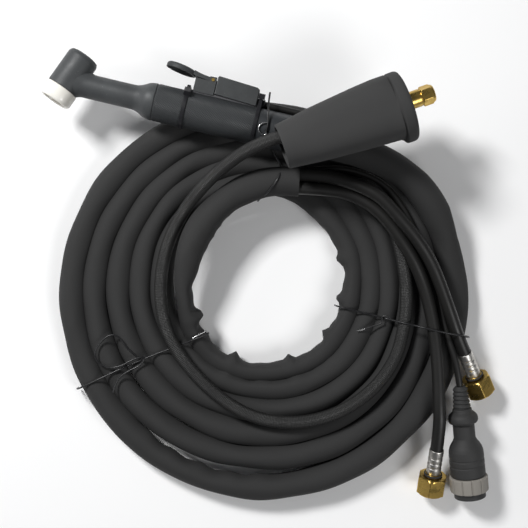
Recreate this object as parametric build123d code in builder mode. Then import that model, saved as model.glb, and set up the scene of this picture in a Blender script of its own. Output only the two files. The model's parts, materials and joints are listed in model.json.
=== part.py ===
from build123d import *
from math import cos, pi, radians, sin, tan
import os

# A water-cooled TIG torch on its own coiled cable, in millimetres.
# The origin is the middle of the coil on the surface that it lies on, and +Z is up.
# Local frames: X runs along a piece, Y lies beside it and Z is its upper side.

# Torch body
HANDLE_ORIGIN = (-87.8, 156.3, 41.8)
HANDLE_HEADING = -13.4
HANDLE_ROLL = -5.0
GRIP_R = 15.15
GRIP_BORE_R = 12.3
GRIP_LENGTH = 83.0
HANDLE_LENGTH = 130.0
NECK_LENGTH = 72.9
NECK_R = 9.9
NECK_BORE_R = 6.7
SPIGOT_LENGTH = 12.0
HEAD_ANGLE = 69.1
HEAD_R = 13.15
HEAD_FRONT = -7.5
HEAD_BACK = 24.7
INSULATOR_LENGTH = 12.2
INSULATOR_R = 13.7
BODY_R = 8.5
FRONT_THREAD_R = 4.4
BACK_THREAD_R = 5.6
TUBE_R = 2.2
HOSE_CIRCLE_R = 6.3
FIT = 0.05

# Trigger switch on the side of the grip
BASE_TOP = 15.8
NOSE_TOP = 25.9
PIN_ALONG = 41.4
PIN_OUT = 27.3
PIN_R = 1.0
HUB_R = 2.4
PLUNGER_ALONG = 34.0
TIE_PLACES = ((24.0, 17.3, 40.0), (82.4, 21.4, 76.0))
TIE_WIDTH = 2.8
TIE_THICK = 1.1

# Cords
JACKET_R = 12.5
HOSE_R = 5.25
CONTROL_R = 2.75
ARC_SHARE = 0.45
COIL_HEIGHT = 25.0
COIL_CENTRE = (-2, -4.5)
COIL_RADII = (169.5, 166.5)
HOLE_CENTRE = (3, 9)
HOLE_RADII = (59.5, 64.5)
WIRE_R = 0.5

JACKET_LEAD = [
    (38.8, 126.15, 41.8), (62.6, 120.5, 41.8), (86.9, 113.5, 40), (111, 101.5, 38),
    (132.5, 81, 33), (147.3, 53.8, 22), (154, 24.4, 13.5), (154.8, -3.8, 12.5),
]
JACKET_TAIL = [
    (-46.5, -46.1, 12.5), (-60.5, -23.3, 21), (-65.1, 4.1, 31), (-62.7, 31.7, 37.6),
    (-51.3, 56.8, 38), (-34.4, 75.4, 38), (-13.3, 88.3, 37.9), (7.7, 94, 37.8), (27.9, 92.8, 37.8),
]
GAS_HOSE = [
    (28.2, 98.1, 40.9), (46.3, 97.6, 44), (63.6, 93, 47.5), (79.5, 87, 50), (93, 79.5, 51.2),
    (105.5, 65.5, 50.7), (121, 48, 47.5), (133.5, 29.3, 43), (141.7, 10.7, 39.5), (150.8, -14, 36),
    (157.2, -31.8, 32), (163.6, -46, 27.1), (171.8, -63.4, 19.6),
]
WATER_HOSE = [
    (27.6, 87.4, 40.9), (46.3, 86.3, 41), (65.5, 83.6, 41.4), (83.3, 75.5, 42.6), (97.1, 63.4, 43.4),
    (109.1, 46.7, 43), (120.6, 28.7, 40.5), (128.6, 10.2, 37.5), (135.2, -14.3, 36.4),
    (138.9, -38.8, 36.2), (141, -63.9, 36), (141.6, -88.2, 36), (142.6, -107, 34.2), (139.4, -144, 19.4),
]
POWER_CABLE = [
    (27.9, 92.8, 31.4), (49.3, 95.2, 31), (69.7, 93, 30.6), (87.1, 88, 30.6), (98, 76, 30.6),
    (105, 57.8, 30.6), (112.8, 30.9, 30.6), (116.5, -1.6, 30.6), (113.6, -26.9, 30.6),
    (107.1, -52.2, 30.6), (88.4, -77.4, 30.6), (61, -95.6, 30.6), (33.4, -103.1, 30.6),
    (6.5, -102.9, 30.6), (-18.3, -95.1, 31.2), (-43.3, -77.7, 32.2), (-64.6, -55.2, 32.4),
    (-79.6, -30.2, 32.2), (-85.3, -3.3, 30.9), (-83.9, 24.4, 30.6), (-76.5, 49.7, 31), (-63.2, 73, 36),
    (-47.8, 90.6, 44), (-32.5, 103.8, 53), (-16.3, 114.7, 61), (-0.5, 121.5, 68.6), (10.9, 124.6, 73.4),
    (27, 127.6, 75.8), (40.9, 129.2, 76.8), (54.5, 131.5, 77.9), (67.9, 136.3, 77.5),
]
CONTROL_CABLE = [
    (28.4, 101.3, 33.3), (51.8, 105, 30), (76.4, 102, 28.1), (96.8, 92.6, 28.1), (110.7, 76.7, 28.1),
    (123.8, 52.2, 28.1), (135.6, 26.1, 28.1), (143, -0.9, 28.1), (147.5, -27.8, 29),
    (157.6, -57.8, 31.7), (160.6, -83.4, 27.9),
]
SWITCH_CABLE = [(84.5, 18.5, 0), (121, 18.5, 0)]

# Power connector and its boot
BOOT_MOUTH = (13.8, 116.8, 79.2)
BOOT_FRONT = (110.2, 151.6, 76.2)
BOOT_LENGTH = 103.0
BOOT_MOUTH_R = 18.0
BOOT_BODY_R = 25.9
FLANGE_R = 28.3
FLANGE_DROP = 2.2
FLANGE_THICK = 10.0
STUD_R = 7.0
STUD_HEX_R = 8.0
CABLE_END = 58.0

# Hose nuts and the plug, along each cord's last run and counted from the cord's end
NUT_FLATS = 22.0
NUT_LENGTH = 16.0
NUT_START = 4.6
NUT_THREAD_R = 7.5
NUT_THREAD_LENGTH = 7.5
PLUG_RING_R = 15.8
PLUG_RING_START = 66.0
PLUG_RING_LENGTH = 13.0
PIN_CIRCLE_R = 7.0
PLUG_PINS = 6


def local(frame, origin, turn=0.0, roll=0.0):
    """Frame placed at a point of another frame, rolled about its X or turned about its Z."""
    return Plane(frame * Location(origin, (roll, 0, turn)))


def along(start, end):
    """Frame at the end point whose X continues the line from start to end."""
    heading = Vector(*end) - Vector(*start)
    return Plane(origin=end, x_dir=heading, z_dir=heading.cross(Vector(0, 0, 1).cross(heading)))


LEVEL = Plane(
    origin=HANDLE_ORIGIN,
    x_dir=(cos(radians(HANDLE_HEADING)), sin(radians(HANDLE_HEADING)), 0),
    z_dir=(0, 0, 1),
)
HANDLE = local(LEVEL, (0, 0, 0), roll=HANDLE_ROLL)
HEAD = local(HANDLE, (-NECK_LENGTH, 0.5, 0), HEAD_ANGLE)
BOOT = local(along(BOOT_MOUTH, BOOT_FRONT), (-BOOT_LENGTH, 0, 0))
GAS_END = along(GAS_HOSE[-2], GAS_HOSE[-1])
WATER_END = along(WATER_HOSE[-2], WATER_HOSE[-1])
PLUG = along(CONTROL_CABLE[-2], CONTROL_CABLE[-1])


def save(piece, name):
    """Write one finished piece to its own file."""
    piece.part.label = name
    export_step(piece.part, f"parts/{name}.step")


def turn(frame, outline, mode=Mode.ADD):
    """Revolve an outline of (along, radius) corners about the frame's X axis."""
    with BuildSketch(frame) as section:
        with BuildLine():
            Polyline(*outline, close=True)
        make_face()
    revolve(section.sketch, axis=Axis(frame.origin, frame.x_dir), mode=mode)


def sleeve(frame, start, end, outer, inner=0.0, mode=Mode.ADD):
    """Plain ring, or a rod where there is no inner radius."""
    turn(frame, [(start, inner), (end, inner), (end, outer), (start, outer)], mode)


def block(frame, low, high, mode=Mode.ADD):
    """Box between two corners of a frame."""
    sizes = [b - a for a, b in zip(low, high)]
    middle = [(a + b) / 2 for a, b in zip(low, high)]
    with Locations(frame.location * Location(middle)):
        Box(*sizes, mode=mode)


def across(frame, at):
    """Plane square to the frame's X axis, with its own X on the frame's Y and its Y on Z."""
    return Plane(origin=frame.from_local_coords((at, 0, 0)), x_dir=frame.y_dir, z_dir=frame.x_dir)


def tube(points, radius, bore=0.0):
    """Tube along straight runs that are joined by the largest arcs that the runs allow."""
    corners = [Vector(*point) for point in points]
    radii = []
    for before, corner, after in zip(corners, corners[1:], corners[2:]):
        half_turn = radians((corner - before).get_angle(after - corner)) / 2
        shorter_run = min((corner - before).length, (after - corner).length)
        radii.append(ARC_SHARE * shorter_run / tan(half_turn))
    with BuildLine() as route:
        FilletPolyline(*points, radius=radii)
    start = Plane(origin=route.line @ 0, z_dir=route.line % 0)
    with BuildSketch(start) as section:
        Circle(radius)
        if bore:
            Circle(bore, mode=Mode.SUBTRACT)
    sweep(section.sketch, path=route.line)
    return route.wire().length, radii


def cord(points, radius, name):
    """One cord's solid, with its length and arc radii printed."""
    with BuildPart() as piece:
        length, radii = tube(points, radius)
    share = piece.part.volume / (pi * radius**2 * length)
    print(f"{name}: length {length:.0f}, arcs {min(radii):.0f} to {max(radii):.0f}, volume {share:.3f}")
    save(piece, name)


# Torch head, neck and handle


def make_head_insulation():
    with BuildPart() as shell:
        turn(HEAD, [
            (HEAD_FRONT, 0), (HEAD_BACK, 0), (HEAD_BACK, HEAD_R - 4), (HEAD_BACK - 1.2, HEAD_R - 1.2),
            (HEAD_BACK - 4, HEAD_R), (HEAD_FRONT, HEAD_R),
        ])
        turn(HANDLE, [
            (7 - NECK_LENGTH, 0), (SPIGOT_LENGTH, 0), (SPIGOT_LENGTH, GRIP_BORE_R - FIT),
            (0, GRIP_BORE_R - FIT), (0, GRIP_R), (-4, GRIP_R - 0.1), (-8, GRIP_R - 1.2),
            (-12, NECK_R + 1.5), (-16, NECK_R + 0.2), (-20, NECK_R), (7 - NECK_LENGTH, NECK_R),
        ])
        sleeve(HEAD, HEAD_FRONT - 1, HEAD_BACK + 1, BODY_R + FIT, mode=Mode.SUBTRACT)
        sleeve(HANDLE, -NECK_LENGTH, SPIGOT_LENGTH + 1, NECK_BORE_R, mode=Mode.SUBTRACT)
    save(shell, "head_insulation")


def make_head_body():
    with BuildPart() as body:
        sleeve(HEAD, HEAD_FRONT - 2, HEAD_BACK - 1.5, BODY_R)
        sleeve(HANDLE, -NECK_LENGTH, -NECK_LENGTH + 16, NECK_BORE_R - FIT)
        turn(HEAD, [
            (HEAD_FRONT - 3, 0), (HEAD_BACK, 0), (HEAD_BACK, BACK_THREAD_R),
            (HEAD_BACK - 13.5, BACK_THREAD_R), (HEAD_BACK - 13.5, 3.2), (HEAD_FRONT + 11, 3.2),
            (HEAD_FRONT + 11, FRONT_THREAD_R), (HEAD_FRONT - 3, FRONT_THREAD_R),
        ], Mode.SUBTRACT)
    save(body, "head_body")


def make_front_insulator():
    front = HEAD_FRONT - INSULATOR_LENGTH
    with BuildPart() as ring:
        turn(HEAD, [
            (HEAD_FRONT, BODY_R + FIT), (HEAD_FRONT, INSULATOR_R - 0.3), (HEAD_FRONT - 1, INSULATOR_R),
            (front + 3, INSULATOR_R), (front + 0.8, INSULATOR_R - 0.8), (front, INSULATOR_R - 1.7),
            (front + 0.5, 10.8), (front + 8, 10.4),
            (front + 8, BODY_R + FIT),
        ])
    save(ring, "front_insulator")


def make_neck_tubes():
    for name, angle in (("gas", 90), ("water", 210), ("power", 330)):
        y, z = cos(radians(angle)), sin(radians(angle))
        stations = ((-NECK_LENGTH + 16, 4.2), (SPIGOT_LENGTH + 2, 4.2), (24, HOSE_CIRCLE_R), (34, HOSE_CIRCLE_R))
        route = [HANDLE.from_local_coords((x, out * y, out * z)) for x, out in stations]
        with BuildPart() as pipe:
            tube([tuple(point) for point in route], TUBE_R, TUBE_R - 0.7)
        save(pipe, f"neck_{name}_tube")
        line = local(HANDLE, (34, HOSE_CIRCLE_R * y, HOSE_CIRCLE_R * z))
        with BuildPart() as barb:
            turn(line, [
                (0, 1.4), (18, 1.4), (18, 2.6), (14, 3.2), (14, 2.7), (10, 3.2), (10, 2.7), (6, 3.2),
                (6, 3.6), (0, 3.6),
            ])
        save(barb, f"{name}_barb")
        with BuildPart() as hose:
            sleeve(line, 6.2, HANDLE_LENGTH - 35, HOSE_R, 3.25)
        save(hose, f"inner_{name}_hose")


def make_handle():
    with BuildPart() as handle:
        sleeve(HANDLE, 0, HANDLE_LENGTH, GRIP_R, GRIP_BORE_R)
        with BuildSketch(across(HANDLE, 118.5)) as hood:
            with Locations((17.2, 0)):
                RectangleRounded(9, 9, 3)
        extrude(hood.sketch, amount=10.5)
        sleeve(HANDLE, 110, HANDLE_LENGTH + 1, GRIP_BORE_R, mode=Mode.SUBTRACT)
        cable_hole = local(HANDLE, (118, 18.5, 0))
        sleeve(cable_hole, -1, 8, CONTROL_R + FIT, mode=Mode.SUBTRACT)
    save(handle, "handle_grip")


# Trigger switch


def make_switch():
    with BuildPart() as base:
        block(HANDLE, (21, 12.6, -6.1), (84, BASE_TOP, 6.1))
        sleeve(HANDLE, 20, 87, GRIP_R + FIT, mode=Mode.SUBTRACT)
    save(base, "switch_base")

    with BuildPart() as nose:
        block(HANDLE, (27.5, 14.9, -7), (44.2, NOSE_TOP, 7))
        for side in (-7.0, 4.8):
            block(HANDLE, (38.6, NOSE_TOP, side), (44.2, PIN_OUT + HUB_R, side + 2.2))
        block(HANDLE, (38.4, PIN_OUT - HUB_R - 0.2, -4.8), (45, NOSE_TOP, 4.8), Mode.SUBTRACT)
        block(HANDLE, (27, 14, -6.2), (45, BASE_TOP, 6.2), Mode.SUBTRACT)
        block(HANDLE, (28.9, BASE_TOP, -3), (41.8, 23.9, 3), Mode.SUBTRACT)
        pin_hole = Plane(origin=HANDLE.from_local_coords((PIN_ALONG, PIN_OUT, -8)),
                         x_dir=HANDLE.z_dir, z_dir=HANDLE.x_dir)
        sleeve(pin_hole, 0, 16, PIN_R, mode=Mode.SUBTRACT)
        plunger_hole = Plane(origin=HANDLE.from_local_coords((PLUNGER_ALONG, 0, 0)),
                             x_dir=HANDLE.y_dir, z_dir=HANDLE.x_dir)
        sleeve(plunger_hole, 23, 27, 1.95, mode=Mode.SUBTRACT)
    save(nose, "switch_nose")

    with BuildPart() as micro:
        block(HANDLE, (29, BASE_TOP + 0.1, -2.9), (41.7, 23.8, 2.9))
    save(micro, "micro_switch")

    with BuildPart() as plunger:
        sleeve(plunger_hole, 24.7, 26.6, 1.87)
    save(plunger, "switch_plunger")

    with BuildPart() as pin:
        sleeve(pin_hole, 1, 15.3, PIN_R)
        sleeve(pin_hole, 15, 15.6, 1.35)
    save(pin, "lever_pin")

    side_plane = Plane(origin=HANDLE.origin, x_dir=HANDLE.x_dir, z_dir=HANDLE.z_dir)
    with BuildPart() as housing:
        with BuildSketch(side_plane) as side_view:
            with BuildLine():
                Polyline((44.8, 16.2), (44.8, 30.3), (45.8, 31.2), (77.6, 29.2), (79.7, 27.8),
                         (79.7, 14.5), close=True)
            make_face()
        extrude(side_view.sketch, amount=8, both=True)
        fillet(housing.edges().filter_by(lambda edge: abs(edge.tangent_at(0).dot(HANDLE.y_dir)) > 0.9), 0.8)
        block(HANDLE, (79.7, BASE_TOP, -5), (86, 21.2, 5))
        block(HANDLE, (46.5, BASE_TOP, -6.2), (78, 27.6, 6.2), Mode.SUBTRACT)
        block(HANDLE, (44, 13, -6.2), (87, BASE_TOP, 6.2), Mode.SUBTRACT)
        sleeve(local(HANDLE, (0, 18.5, 0)), 77, 90, CONTROL_R + FIT, mode=Mode.SUBTRACT)
        block(HANDLE, (77, BASE_TOP - 3, -2.8), (87, 18.5, 2.8), Mode.SUBTRACT)
    save(housing, "switch_housing")

    with BuildPart() as terminals:
        block(HANDLE, (50, BASE_TOP + 0.1, -5), (66, 24, 5))
        for side in (-3, 0, 3):
            block(HANDLE, (53, 24, side - 0.6), (63, 27.5, side + 0.6))
    save(terminals, "terminal_block")


def make_lever():
    lever_plane = Plane(origin=HANDLE.origin, x_dir=HANDLE.x_dir, z_dir=HANDLE.z_dir)
    pin_line = Plane(origin=HANDLE.from_local_coords((PIN_ALONG, PIN_OUT, -4.6)),
                     x_dir=HANDLE.z_dir, z_dir=HANDLE.x_dir)
    dish = local(HANDLE, (13.6, 29.4, 0), -9)
    rim = Plane(origin=dish.origin, x_dir=dish.x_dir, z_dir=dish.y_dir)
    with BuildPart() as lever:
        with BuildSketch(rim) as oval:
            Ellipse(12.4, 9.6)
        extrude(oval.sketch, amount=4.4)
        fillet(lever.faces().sort_by(Axis(rim.origin, rim.z_dir))[-1].edges(), 2)
        with BuildSketch(lever_plane) as stem:
            with BuildLine():
                Polyline((24, 28.9), (28, 27.6), (38.6, 26.4), (41.4, 25.2), (43.4, 27.3),
                         (42.2, 29.4), (39.6, 29.4), (32.8, 30.2), (28.5, 31.2), (25, 32.2), close=True)
            make_face()
        extrude(stem.sketch, amount=4.6, both=True)
        sleeve(pin_line, 0, 9.2, HUB_R)
        with BuildSketch(rim) as hollow:
            Ellipse(10.9, 8.1)
        extrude(hollow.sketch, amount=2.9, mode=Mode.SUBTRACT)
        sleeve(pin_line, -1, 11, PIN_R + FIT, mode=Mode.SUBTRACT)
    save(lever, "switch_lever")


def make_ties():
    with BuildPart() as ties:
        for place, out, head_angle in TIE_PLACES:
            wide = 5.0 if head_angle > 60 else 7.0
            ring_plane = across(HANDLE, place - TIE_WIDTH / 2)
            for margin, mode in ((FIT + TIE_THICK, Mode.ADD), (FIT, Mode.SUBTRACT)):
                with BuildSketch(ring_plane) as outline:
                    Circle(GRIP_R + margin)
                    with Locations((out / 2, 0)):
                        Rectangle(out + 2 * margin, 2 * (wide + margin))
                    make_hull()
                extrude(outline.sketch, amount=TIE_WIDTH, mode=mode)
            reach = GRIP_R + 3.4 if head_angle < 60 else out + 3
            tilt = radians(90 - head_angle)
            spot = HANDLE.from_local_coords((place, reach * cos(tilt), reach * sin(tilt)))
            outward = HANDLE.y_dir * cos(tilt) + HANDLE.z_dir * sin(tilt)
            head = Plane(origin=spot, x_dir=HANDLE.x_dir, z_dir=outward)
            block(head, (-2.4, -2.6, -2.4), (2.7, 2.6, 2))
    save(ties, "cable_ties")


# Jacket, hoses and cables


def make_cords():
    with BuildPart() as coil:
        with BuildSketch() as ring:
            with Locations(COIL_CENTRE):
                Ellipse(*COIL_RADII)
            with Locations(HOLE_CENTRE):
                Ellipse(*HOLE_RADII, mode=Mode.SUBTRACT)
        extrude(amount=COIL_HEIGHT)
        fillet(coil.edges().filter_by(GeomType.ELLIPSE).sort_by(SortBy.LENGTH)[:2], 8)
        fillet(coil.edges().group_by(Axis.Z)[0].sort_by(SortBy.LENGTH)[-1], 6)
        fillet(coil.edges().group_by(Axis.Z)[-1].sort_by(SortBy.LENGTH)[-1], 12)
    save(coil, "jacket_coil")

    cord(JACKET_LEAD, JACKET_R, "jacket_lead")
    cord(JACKET_TAIL, JACKET_R, "jacket_tail")
    cord(GAS_HOSE, HOSE_R, "gas_hose")
    cord(WATER_HOSE, HOSE_R, "water_hose")
    cord(POWER_CABLE, HOSE_R, "power_cable")
    cord(CONTROL_CABLE, CONTROL_R, "control_cable")

    lead = [tuple(HANDLE.from_local_coords(point)) for point in SWITCH_CABLE]
    with BuildPart() as cable:
        with BuildLine() as route:
            Polyline(*lead)
        with BuildSketch(Plane(origin=route.line @ 0, z_dir=route.line % 0)) as section:
            Circle(CONTROL_R)
        sweep(section.sketch, path=route.line)
    save(cable, "switch_cable")


def make_coil_ties():
    routes = [
        [(-155.8, -77.5, 2), (-155.8, -77.5, 13), (-153, -76.3, 22.5), (-145, -72.5, 26), (-65.5, -38.9, 26),
         (-58.6, -36, 30.9), (-50.3, -32.4, 31.4), (-43, -29.3, 26.3), (-39.4, -27.8, 17), (-39.4, -27.8, 2)],
        [(58.8, -8.3, 2), (58.8, -8.3, 20), (61.5, -9, 26.3), (99, -18, 26), (110, -21, 36.5),
         (119, -23.2, 38), (131, -26, 42.8), (143, -28.8, 42.8), (157, -31.5, 39.5),
         (166.5, -33.5, 34), (168.8, -34.3, 18), (168.8, -34.3, 2)],
    ]
    with BuildPart() as wires:
        for route in routes:
            with BuildLine() as path:
                FilletPolyline(*route, radius=1.5)
            with BuildSketch(Plane(origin=path.line @ 0, z_dir=path.line % 0)) as section:
                Circle(WIRE_R)
            sweep(section.sketch, path=path.line)
    save(wires, "coil_ties")


# Pieces on the cords' ends


def make_hose_end(name, end):
    with BuildPart() as ferrule:
        turn(end, [
            (-20, HOSE_R + 0.1), (1.9, HOSE_R + 0.1), (1.9, 5.8), (-3, 6.0), (-4, 5.6), (-5, 6.0),
            (-10, 6.0), (-11, 5.6), (-12, 6.0), (-20, 5.9),
        ])
    save(ferrule, f"{name}_ferrule")

    neck_r = 6.5
    with BuildPart() as nipple:
        turn(end, [
            (0, 1.9), (13, 1.9), (13, 3.6), (11.1, 5.6), (11, 7.1), (8.7, 7.1), (8.7, neck_r),
            (2.2, neck_r), (2.2, 3.4), (0, 3.4),
        ])
    save(nipple, f"{name}_nipple")

    with BuildPart() as seal:
        turn(end, [(2.3, neck_r), (4.2, neck_r), (4.2, 7.2), (3.6, 7.6), (2.9, 7.6), (2.3, 7.2)])
    save(seal, f"{name}_ring")

    nut_end = NUT_START + NUT_LENGTH
    with BuildPart() as nut:
        with BuildSketch(across(end, NUT_START)) as hexagon:
            RegularPolygon(NUT_FLATS / 2, 6, major_radius=False, rotation=30)
        extrude(hexagon.sketch, amount=NUT_LENGTH)
        turn(end, [
            (NUT_START - 1, 11.2), (NUT_START - 1, 16), (nut_end + 1, 16), (nut_end + 1, 11.2),
            (nut_end - 1.2, 13), (NUT_START + 1.2, 13),
        ], Mode.SUBTRACT)
        sleeve(end, NUT_START - 1, 9, neck_r + 0.08, mode=Mode.SUBTRACT)
        sleeve(end, 8.6, nut_end - NUT_THREAD_LENGTH, NUT_THREAD_R + 0.3, mode=Mode.SUBTRACT)
        sleeve(end, 12, nut_end + 1, NUT_THREAD_R, mode=Mode.SUBTRACT)
    save(nut, f"{name}_nut")


def make_power_end():
    face = BOOT_LENGTH
    back = face - FLANGE_THICK
    with BuildPart() as boot:
        turn(BOOT, [
            (0, 0), (0, BOOT_MOUTH_R - 0.6), (0.6, BOOT_MOUTH_R), (18, 20), (40, 22.3),
            (62, 24.3), (80, 25.5), (back + 1, BOOT_BODY_R), (back + 1, 0),
        ])
        turn(local(BOOT, (0, -FLANGE_DROP, 0)), [
            (back, 0), (back, FLANGE_R - 1.2), (back + 1, FLANGE_R), (face - 3, FLANGE_R),
            (face - 0.8, FLANGE_R - 1), (face, FLANGE_R - 3), (face, 0),
        ])
        turn(BOOT, [
            (-1, 0), (face + 1, 0), (face + 1, STUD_R + FIT), (face - 12, STUD_R + FIT),
            (face - 12, 18.5), (40, 17.6), (20, 16.2), (-1, 15.6),
        ], Mode.SUBTRACT)
    save(boot, "power_boot")

    with BuildPart() as stud:
        turn(BOOT, [
            (CABLE_END + 12, 0), (face + 22.6, 0), (face + 22.6, 6.0), (face + 21.8, 6.7),
            (face + 20, 6.7), (face + 12, 6.5), (face + 11.4, 6.5), (face + 11, STUD_R), (face - 13, STUD_R),
            (face - 13, 9), (face - 16, 9), (face - 16, 6.4), (CABLE_END + 12, 6.4),
        ])
        with BuildSketch(across(BOOT, face + 12.4)) as hexagon:
            RegularPolygon(STUD_HEX_R, 6)
        extrude(hexagon.sketch, amount=7.4)
        sleeve(BOOT, face + 10.6, face + 22.6, 4.6, mode=Mode.SUBTRACT)
    save(stud, "power_connector")

    with BuildPart() as crimp:
        sleeve(BOOT, CABLE_END - 8, CABLE_END + 12, 7.4)
        sleeve(BOOT, CABLE_END - 9, CABLE_END + 0.02, HOSE_R + 0.3, mode=Mode.SUBTRACT)
    save(crimp, "power_crimp")


def make_plug():
    with BuildPart() as boot:
        ribs = []
        for rib in range(5):
            place = -9 + rib * 3.4
            ribs += [(place, 6.4), (place + 0.6, 7.1), (place + 2.2, 7.1), (place + 2.8, 6.4)]
        turn(PLUG, [(-10, CONTROL_R + 0.1), (-10, 5.4)] + ribs + [
            (8.4, 6.4), (8.4, 0), (0.05, 0), (0.05, CONTROL_R + 0.1),
        ])
    save(boot, "plug_boot")

    with BuildPart() as collar:
        turn(PLUG, [
            (8.5, 0), (8.5, 7.6), (11, 8.2), (13, 10.2), (15, 11.8), (17, 12.3), (19, 12.3), (20.6, 11.4),
            (21.6, 9.4), (22, 0),
        ])
    save(collar, "plug_collar")

    with BuildPart() as shell:
        turn(PLUG, [
            (22, 0), (22, 8.9), (33.5, 8.9), (36, 10), (38.5, 11.8), (41, 13.2), (44, 14.1), (48, 14.4),
            (65.6, 14.4), (65.6, 13), (PLUG_RING_START + 0.4, 13), (PLUG_RING_START + 0.4, 0),
        ])
    save(shell, "plug_shell")

    ring_end = PLUG_RING_START + PLUG_RING_LENGTH
    with BuildPart() as ring:
        sleeve(PLUG, PLUG_RING_START, ring_end, PLUG_RING_R, 13.08)
        with BuildSketch(across(PLUG, PLUG_RING_START)) as grooves:
            with PolarLocations(PLUG_RING_R + 0.5, 12):
                Circle(0.9)
        extrude(grooves.sketch, amount=PLUG_RING_LENGTH, mode=Mode.SUBTRACT)
    save(ring, "plug_coupling_ring")

    with BuildPart() as insert:
        sleeve(PLUG, PLUG_RING_START + 0.4, 84, 13)
        sleeve(PLUG, 76, 85, 10.6, mode=Mode.SUBTRACT)
    save(insert, "plug_insert")

    with BuildPart() as pins:
        with BuildSketch(across(PLUG, 76)) as circles:
            with PolarLocations(PIN_CIRCLE_R, PLUG_PINS):
                Circle(0.8)
        extrude(circles.sketch, amount=6.5)
    save(pins, "plug_pins")


def main():
    os.makedirs("parts", exist_ok=True)
    make_head_insulation()
    make_head_body()
    make_front_insulator()
    make_neck_tubes()
    make_handle()
    make_switch()
    make_lever()
    make_ties()
    make_cords()
    make_coil_ties()
    make_hose_end("gas", GAS_END)
    make_hose_end("water", WATER_END)
    make_power_end()
    make_plug()


main()
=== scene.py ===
"""Visual model of a water-cooled TIG torch that lies on its own coiled cable set.

Every length in a table or a dataclass is in millimetres, in the CAD's frame, unless its name says otherwise.
The helpers turn them into metres as they make each mesh.
"""

import json
import logging
import math
from dataclasses import dataclass, field
from enum import Enum

import bmesh
import bpy
import numpy as np
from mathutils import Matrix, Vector

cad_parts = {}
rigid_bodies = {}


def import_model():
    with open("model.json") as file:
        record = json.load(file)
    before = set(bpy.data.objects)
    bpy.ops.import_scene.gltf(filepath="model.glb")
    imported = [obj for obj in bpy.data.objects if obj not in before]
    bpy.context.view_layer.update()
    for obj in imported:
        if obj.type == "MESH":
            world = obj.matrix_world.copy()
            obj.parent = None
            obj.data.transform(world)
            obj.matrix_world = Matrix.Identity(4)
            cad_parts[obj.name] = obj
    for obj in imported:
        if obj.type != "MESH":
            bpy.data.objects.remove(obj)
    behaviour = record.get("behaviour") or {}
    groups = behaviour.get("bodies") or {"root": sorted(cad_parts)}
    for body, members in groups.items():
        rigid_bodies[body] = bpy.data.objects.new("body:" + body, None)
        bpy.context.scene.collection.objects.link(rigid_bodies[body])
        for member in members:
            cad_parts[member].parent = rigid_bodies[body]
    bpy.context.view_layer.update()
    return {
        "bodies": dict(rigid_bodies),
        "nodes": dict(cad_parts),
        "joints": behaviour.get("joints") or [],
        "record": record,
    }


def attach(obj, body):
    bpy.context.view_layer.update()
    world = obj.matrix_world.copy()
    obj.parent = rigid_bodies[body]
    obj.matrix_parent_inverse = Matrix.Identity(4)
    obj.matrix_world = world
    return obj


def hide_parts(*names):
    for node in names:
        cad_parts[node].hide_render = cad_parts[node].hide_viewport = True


logging.basicConfig(level=logging.INFO, format="%(message)s")
LOG = logging.getLogger("torch")

MM = 0.001
ROOT = "torch_and_cords"
Points = list[tuple[float, float, float]]


# Frames and surfaces


@dataclass(frozen=True)
class Placement:
    """Local frame: X runs along a piece, Y lies beside it and Z is its upper side."""

    origin: np.ndarray
    x: np.ndarray
    y: np.ndarray
    z: np.ndarray

    @classmethod
    def heading(cls, origin: tuple[float, float, float], degrees: float, roll: float = 0.0) -> "Placement":
        """Level frame that points along a compass heading and is rolled about its own X.

        Args:
            origin: The frame's origin in millimetres.
            degrees: Heading, counted from +X towards +Y.
            roll: Roll about the frame's X in degrees.

        Returns:
            The placement.
        """
        a, r = math.radians(degrees), math.radians(roll)
        x = np.array([math.cos(a), math.sin(a), 0.0])
        flat = np.array([-math.sin(a), math.cos(a), 0.0])
        up = np.array([0.0, 0.0, 1.0])
        y = math.cos(r) * flat + math.sin(r) * up
        return cls(np.array(origin, float), x, y, np.cross(x, y))

    @classmethod
    def along(
        cls, start: tuple[float, float, float], end: tuple[float, float, float], shift: float = 0.0
    ) -> "Placement":
        """Frame at the end point, moved by shift, whose X continues the line from start to end.

        Args:
            start: First point of the line.
            end: Last point of the line.
            shift: How far the origin moves on along X.

        Returns:
            The placement.
        """
        x = np.array(end, float) - np.array(start, float)
        x /= np.linalg.norm(x)
        y = np.cross([0.0, 0.0, 1.0], x)
        y /= np.linalg.norm(y)
        return cls(np.array(end, float) + shift * x, x, y, np.cross(x, y))

    def turned(self, origin: tuple[float, float, float], degrees: float = 0.0) -> "Placement":
        """Frame at a local point of this one, turned about this one's Z.

        Args:
            origin: Local point.
            degrees: Turn about Z.

        Returns:
            The new placement.
        """
        a = math.radians(degrees)
        x = math.cos(a) * self.x + math.sin(a) * self.y
        y = math.cos(a) * self.y - math.sin(a) * self.x
        return Placement(self.world(np.array(origin, float)), x, y, self.z)

    def world(self, local: np.ndarray) -> np.ndarray:
        """Row-frame points of local ones, in millimetres.

        Args:
            local: Array whose last axis holds local x, y and z.

        Returns:
            Array of the same shape.
        """
        return self.origin + local[..., :1] * self.x + local[..., 1:2] * self.y + local[..., 2:3] * self.z


def smooth_shade(mesh: bpy.types.Mesh, sharp_degrees: float = 38.0) -> None:
    """Shade a mesh smooth, with edges over an angle kept sharp.

    Args:
        mesh: The mesh.
        sharp_degrees: Edges whose faces turn by more than this stay sharp.
    """
    mesh.polygons.foreach_set("use_smooth", np.ones(len(mesh.polygons), bool))
    mesh.set_sharp_from_angle(angle=math.radians(sharp_degrees))


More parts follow.
